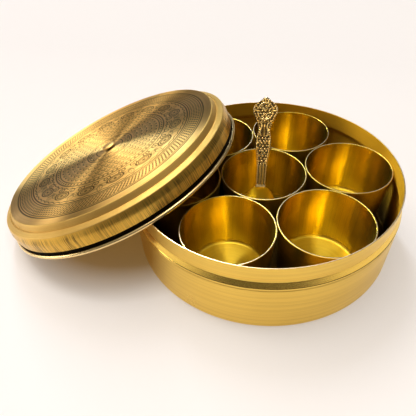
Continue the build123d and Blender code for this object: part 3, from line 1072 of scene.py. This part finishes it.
# colour of the painted shadow under the lid, and of the floor's glow elsewhere
SHADE_TINT, GLOW_TINT = (0.32, 0.20, 0.07), (1.0, 0.93, 0.86)
CAMERA_PLACE = (0.0287, -0.24072, 0.23841)  # from the box's axis, the middle and the floor
CAMERA_TURN = (47.336, 2.578, 14.999)  # degrees about X, Y and Z
VIEW_GAMMA = 0.86
LIGHT_TARGET = (0.0, 0.0, 0.05)
LIGHT_REACH = 20.0
LIGHTS = (  # name, property of its power, way to it, its width and height, and tint
    ("strip_light", "strip", (-0.32, 0.62, 0.71), (1.2, 11.5), (0.74, 0.85, 1.0)),
    ("soft_light", "soft", (-0.56, 0.30, 0.77), (11.5, 10.0), (1.0, 0.97, 0.92)),
    ("overhead_light", "above", (-0.10, 0.05, 0.99), (6.0, 11.0), (1.0, 0.97, 0.93)),
    ("side_light", "side", (-0.93, -0.25, 0.26), (12.0, 6.0), (1.0, 0.97, 0.92)),
)
ROOM_TINT = (1.0, 0.93, 0.82)
ROOM_LEVEL = 0.1  # what the darkest part of the room gives


def make_floor(scene, setup, tone):
    """A pale floor that glows, with a painted shadow under the lid, and glows less towards the back."""
    half = FLOOR_HALF
    me = bpy.data.meshes.new("studio_floor")
    points = [(-half, -half, 0), (half, -half, 0), (half, half, 0), (-half, half, 0)]
    me.from_pydata(points, [], [(0, 1, 2, 3)])
    floor = bpy.data.objects.new("studio_floor", me)
    scene.collection.objects.link(floor)
    paper, tree, shader = material("pale_paper")
    grain = add(tree, "TexNoise", {"Scale": GRAIN_SCALE, "Detail": 2.0}).outputs["Fac"]
    shade = mixed(tree, grain, tone.floor, scaled(tone.floor, [0.985] * 3))
    feed(shader, {"Base Color": shade, "Roughness": 0.9, "Specular IOR Level": 0.1})
    ends = {0: own_place(tree), 1: SHADE_MIDDLE}
    distance = add(tree, "VectorMath", ends, operation="DISTANCE").outputs["Value"]
    # the glow turns into a painted shadow round the middle under the lid
    glow = mixed(tree, ramp(tree, distance, *SHADE_EDGE), SHADE_TINT, GLOW_TINT)
    level = ramp(tree, own_parts(tree)[1], -0.1, 0.35, setup.glow, setup.glow * 0.82)
    feed(shader, {"Emission Color": glow, "Emission Strength": level})
    me.materials.append(paper)


def make_camera(scene, setup):
    """The camera, fitted to the photograph."""
    data = bpy.data.cameras.new("photo_camera")
    data.lens = setup.lens
    data.sensor_width = 36.0
    camera = bpy.data.objects.new("photo_camera", data)
    axis_x = on_axis("box_body").translation.x
    camera.location = (axis_x + CAMERA_PLACE[0], *CAMERA_PLACE[1:])
    camera.rotation_euler = [radians(turn) for turn in CAMERA_TURN]
    scene.collection.objects.link(camera)
    scene.camera = camera


def make_lights(scene, setup):
    """Wide soft lights, so far away that they light the floor evenly."""
    target = Vector(LIGHT_TARGET)
    for name, key, way, size, tint in LIGHTS:
        data = bpy.data.lights.new(name, "AREA")
        data.shape = "RECTANGLE"
        data.size, data.size_y = size
        data.energy = getattr(setup, key)
        data.color = tint
        lamp = bpy.data.objects.new(name, data)
        lamp.location = target + Vector(way).normalized() * LIGHT_REACH
        lamp.rotation_euler = (target - lamp.location).to_track_quat("-Z", "Y").to_euler()
        scene.collection.objects.link(lamp)


def make_room(scene, setup):
    """A plain room: bright at the horizon and overhead, darker in front and behind."""
    world = bpy.data.worlds.new("studio_room")
    scene.world = world
    world.use_nodes = True
    tree = world.node_tree
    way = add(tree, "TexCoord").outputs["Generated"]
    x, y, z = add(tree, "SeparateXYZ", {0: way}).outputs
    toward = weighted(tree, x, 0.31, y, -0.95)
    behind = weighted(tree, x, 0.17, y, 0.98)
    horizon = times(tree, ramp(tree, z, 0.0, 0.07, 0.7, 0.0), ramp(tree, toward, 0.55, 0.8, 1.0, 0.08))
    shaded = times(tree, maths(tree, "MAXIMUM", toward, 0.0), 0.45)
    ceiling = ramp(tree, maths(tree, "SUBTRACT", z, shaded), 0.48, 0.74)
    ceiling = times(tree, ceiling, ramp(tree, behind, 0.35, 0.6, 1.0, 0.15))
    level = maths(tree, "ADD", maths(tree, "ADD", horizon, ceiling), ROOM_LEVEL)
    feed(tree.nodes["Background"], {"Color": ROOM_TINT, "Strength": times(tree, level, setup.room)})


class SPICEBOX_OT_stage(Operator):
    """Make the floor, the lights and the camera"""

    bl_idname = "spicebox.stage"
    bl_label = "Stage"

    def execute(self, context):
        scene = context.scene
        setup = scene.spicebox_stage
        make_floor(scene, setup, scene.spicebox_finish)
        make_camera(scene, setup)
        make_lights(scene, setup)
        make_room(scene, setup)
        scene.view_settings.view_transform = "Standard"
        scene.view_settings.gamma = VIEW_GAMMA
        return {"FINISHED"}


class SPICEBOX_PT_panel(Panel):
    """Spice box tools"""

    bl_label = "Spice Box"
    bl_idname = "SPICEBOX_PT_panel"
    bl_space_type = "VIEW_3D"
    bl_region_type = "UI"
    bl_category = "Spice Box"

    def draw(self, context):
        for operator in OPERATORS:
            self.layout.operator(operator.bl_idname)
        for name in GROUPS:
            group = getattr(context.scene, "spicebox_" + name)
            box = self.layout.box()
            box.label(text=name.title())
            for key in group.__annotations__:
                box.prop(group, key)


OPERATORS = (SPICEBOX_OT_box, SPICEBOX_OT_cups, SPICEBOX_OT_lid, SPICEBOX_OT_spoon, SPICEBOX_OT_stage)
GROUPS = {
    "body": SpiceBoxBody,
    "cup": SpiceBoxCup,
    "lid": SpiceBoxLid,
    "spoon": SpiceBoxSpoon,
    "finish": SpiceBoxFinish,
    "stage": SpiceBoxStage,
}


def register():
    """Register every class, and put each group of settings on the scene."""
    for kind in (*GROUPS.values(), *OPERATORS, SPICEBOX_PT_panel):
        bpy.utils.register_class(kind)
    for name, kind in GROUPS.items():
        setattr(bpy.types.Scene, "spicebox_" + name, PointerProperty(type=kind))


def unregister():
    """Take it all away again."""
    for name in GROUPS:
        delattr(bpy.types.Scene, "spicebox_" + name)
    for kind in (SPICEBOX_PT_panel, *reversed(OPERATORS), *reversed(GROUPS.values())):
        bpy.utils.unregister_class(kind)


def main():
    """Make every piece and the stage."""
    register()
    for name in ("box", "cups", "lid", "spoon", "stage"):
        getattr(bpy.ops.spicebox, name)()


if __name__ == "__main__":
    main()
